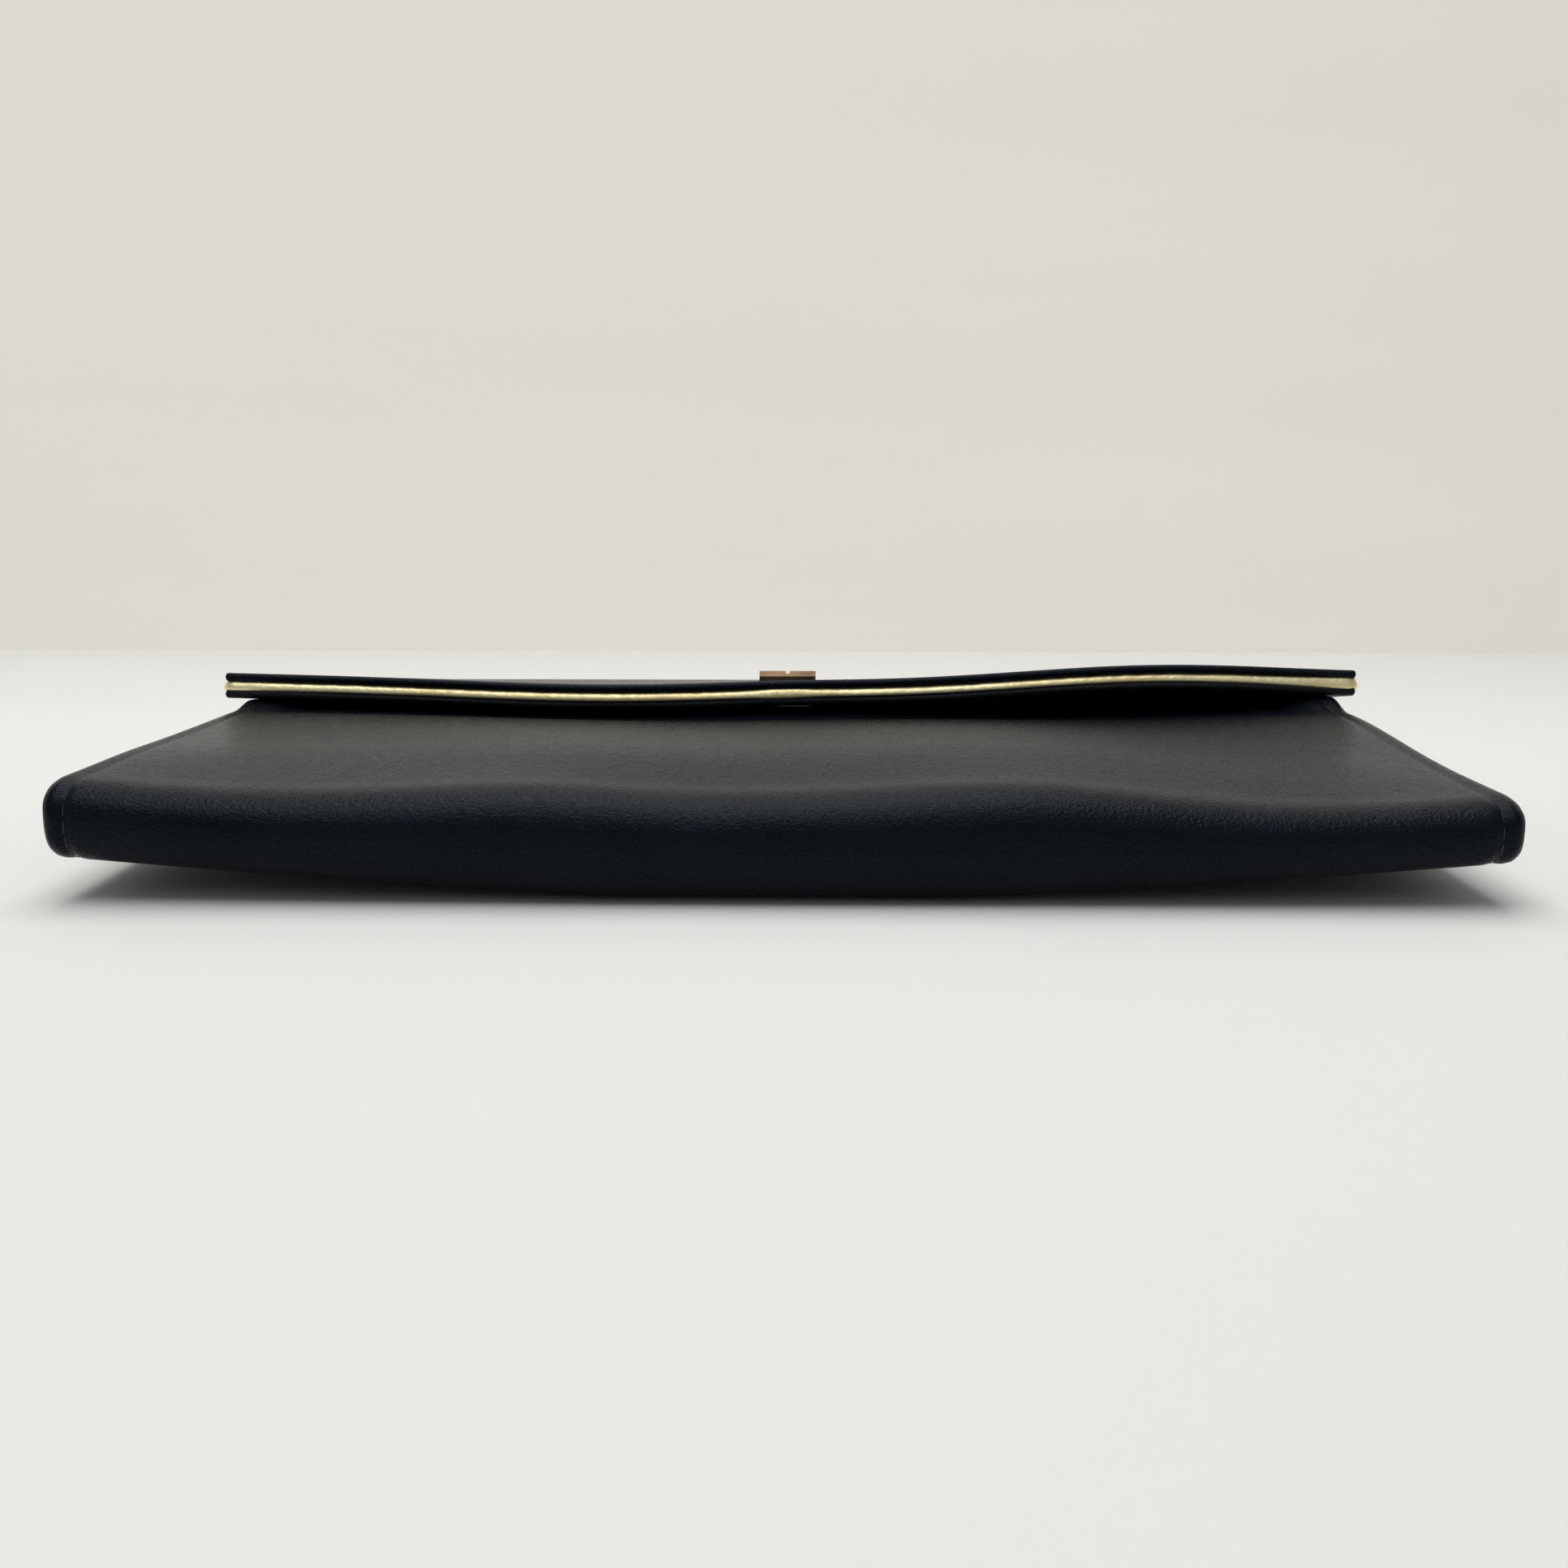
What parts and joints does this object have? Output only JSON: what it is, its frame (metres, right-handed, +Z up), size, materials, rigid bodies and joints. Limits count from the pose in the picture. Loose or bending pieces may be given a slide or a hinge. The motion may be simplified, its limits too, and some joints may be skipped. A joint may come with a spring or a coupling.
{
  "type": "clutch purse",
  "caption": "Slim satin clutch purse with a fold-over flap edged in gold, a small bar ornament, a snap closure and a lined compartment with folded side gussets.",
  "frame": {"origin": "centre of the bounding box's base: the middle of the purse, on the surface it lies on", "axes": "+X across the purse, +Y towards the top fold where the flap turns over, +Z up through the flap's outer face"},
  "size_m": [0.261, 0.155, 0.0286],
  "materials": {
    "satin": "satin, matt black with a soft sheen",
    "satin_edge": "black, turned and pressed edge",
    "lining": "black twill lining",
    "gusset": "black satin, folded",
    "board": "fibre board stiffening, hidden",
    "gold_leather": "metallic foil, creased along its length",
    "gold_metal": "polished pale gold",
    "nickel": "nickel plated"
  },
  "bodies": {
    "body": {"back_cover": "satin", "bottom_fold_cover": "satin", "back_board": "board", "bottom_board": "board", "back_lining": "lining", "bottom_lining": "lining", "slip_pocket": "lining", "gusset_left": "gusset", "gusset_right": "gusset"},
    "front": {"front_cover": "satin", "front_board": "board", "front_lining": "lining", "snap_socket": "nickel", "snap_socket_washer": "nickel"},
    "top_fold": {"top_fold_cover": "satin", "top_fold_lining": "lining"},
    "flap": {"flap_cover": "satin", "flap_board": "board", "flap_facing": "satin_edge", "gold_piping": "gold_leather", "clasp_bar": "gold_metal", "clasp_backplate": "nickel", "snap_stud": "nickel", "snap_stud_washer": "nickel"}
  },
  "joints": [
    {"name": "flap_fold", "type": "hinge", "parent": "body", "child": "top_fold", "pos_m": [0, 0.07604, 0.00146], "axis": [-1, 0, 0], "range_deg": [0, 90]},
    {"name": "flap_turn", "type": "hinge", "parent": "top_fold", "child": "flap", "pos_m": [0, 0.07604, 0.01954], "axis": [-1, 0, 0], "range_deg": [0, 80]},
    {"name": "mouth_open", "type": "hinge", "parent": "body", "child": "front", "pos_m": [0, -0.0715, 0.0215], "axis": [1, 0, 0], "range_deg": [0, 7.5]}
  ],
  "couplings": [
    {"joint": "flap_turn", "follows": "flap_fold", "ratio": 0.8888},
    {"joint": "mouth_open", "follows": "flap_fold", "ratio": 0.0833}
  ]
}
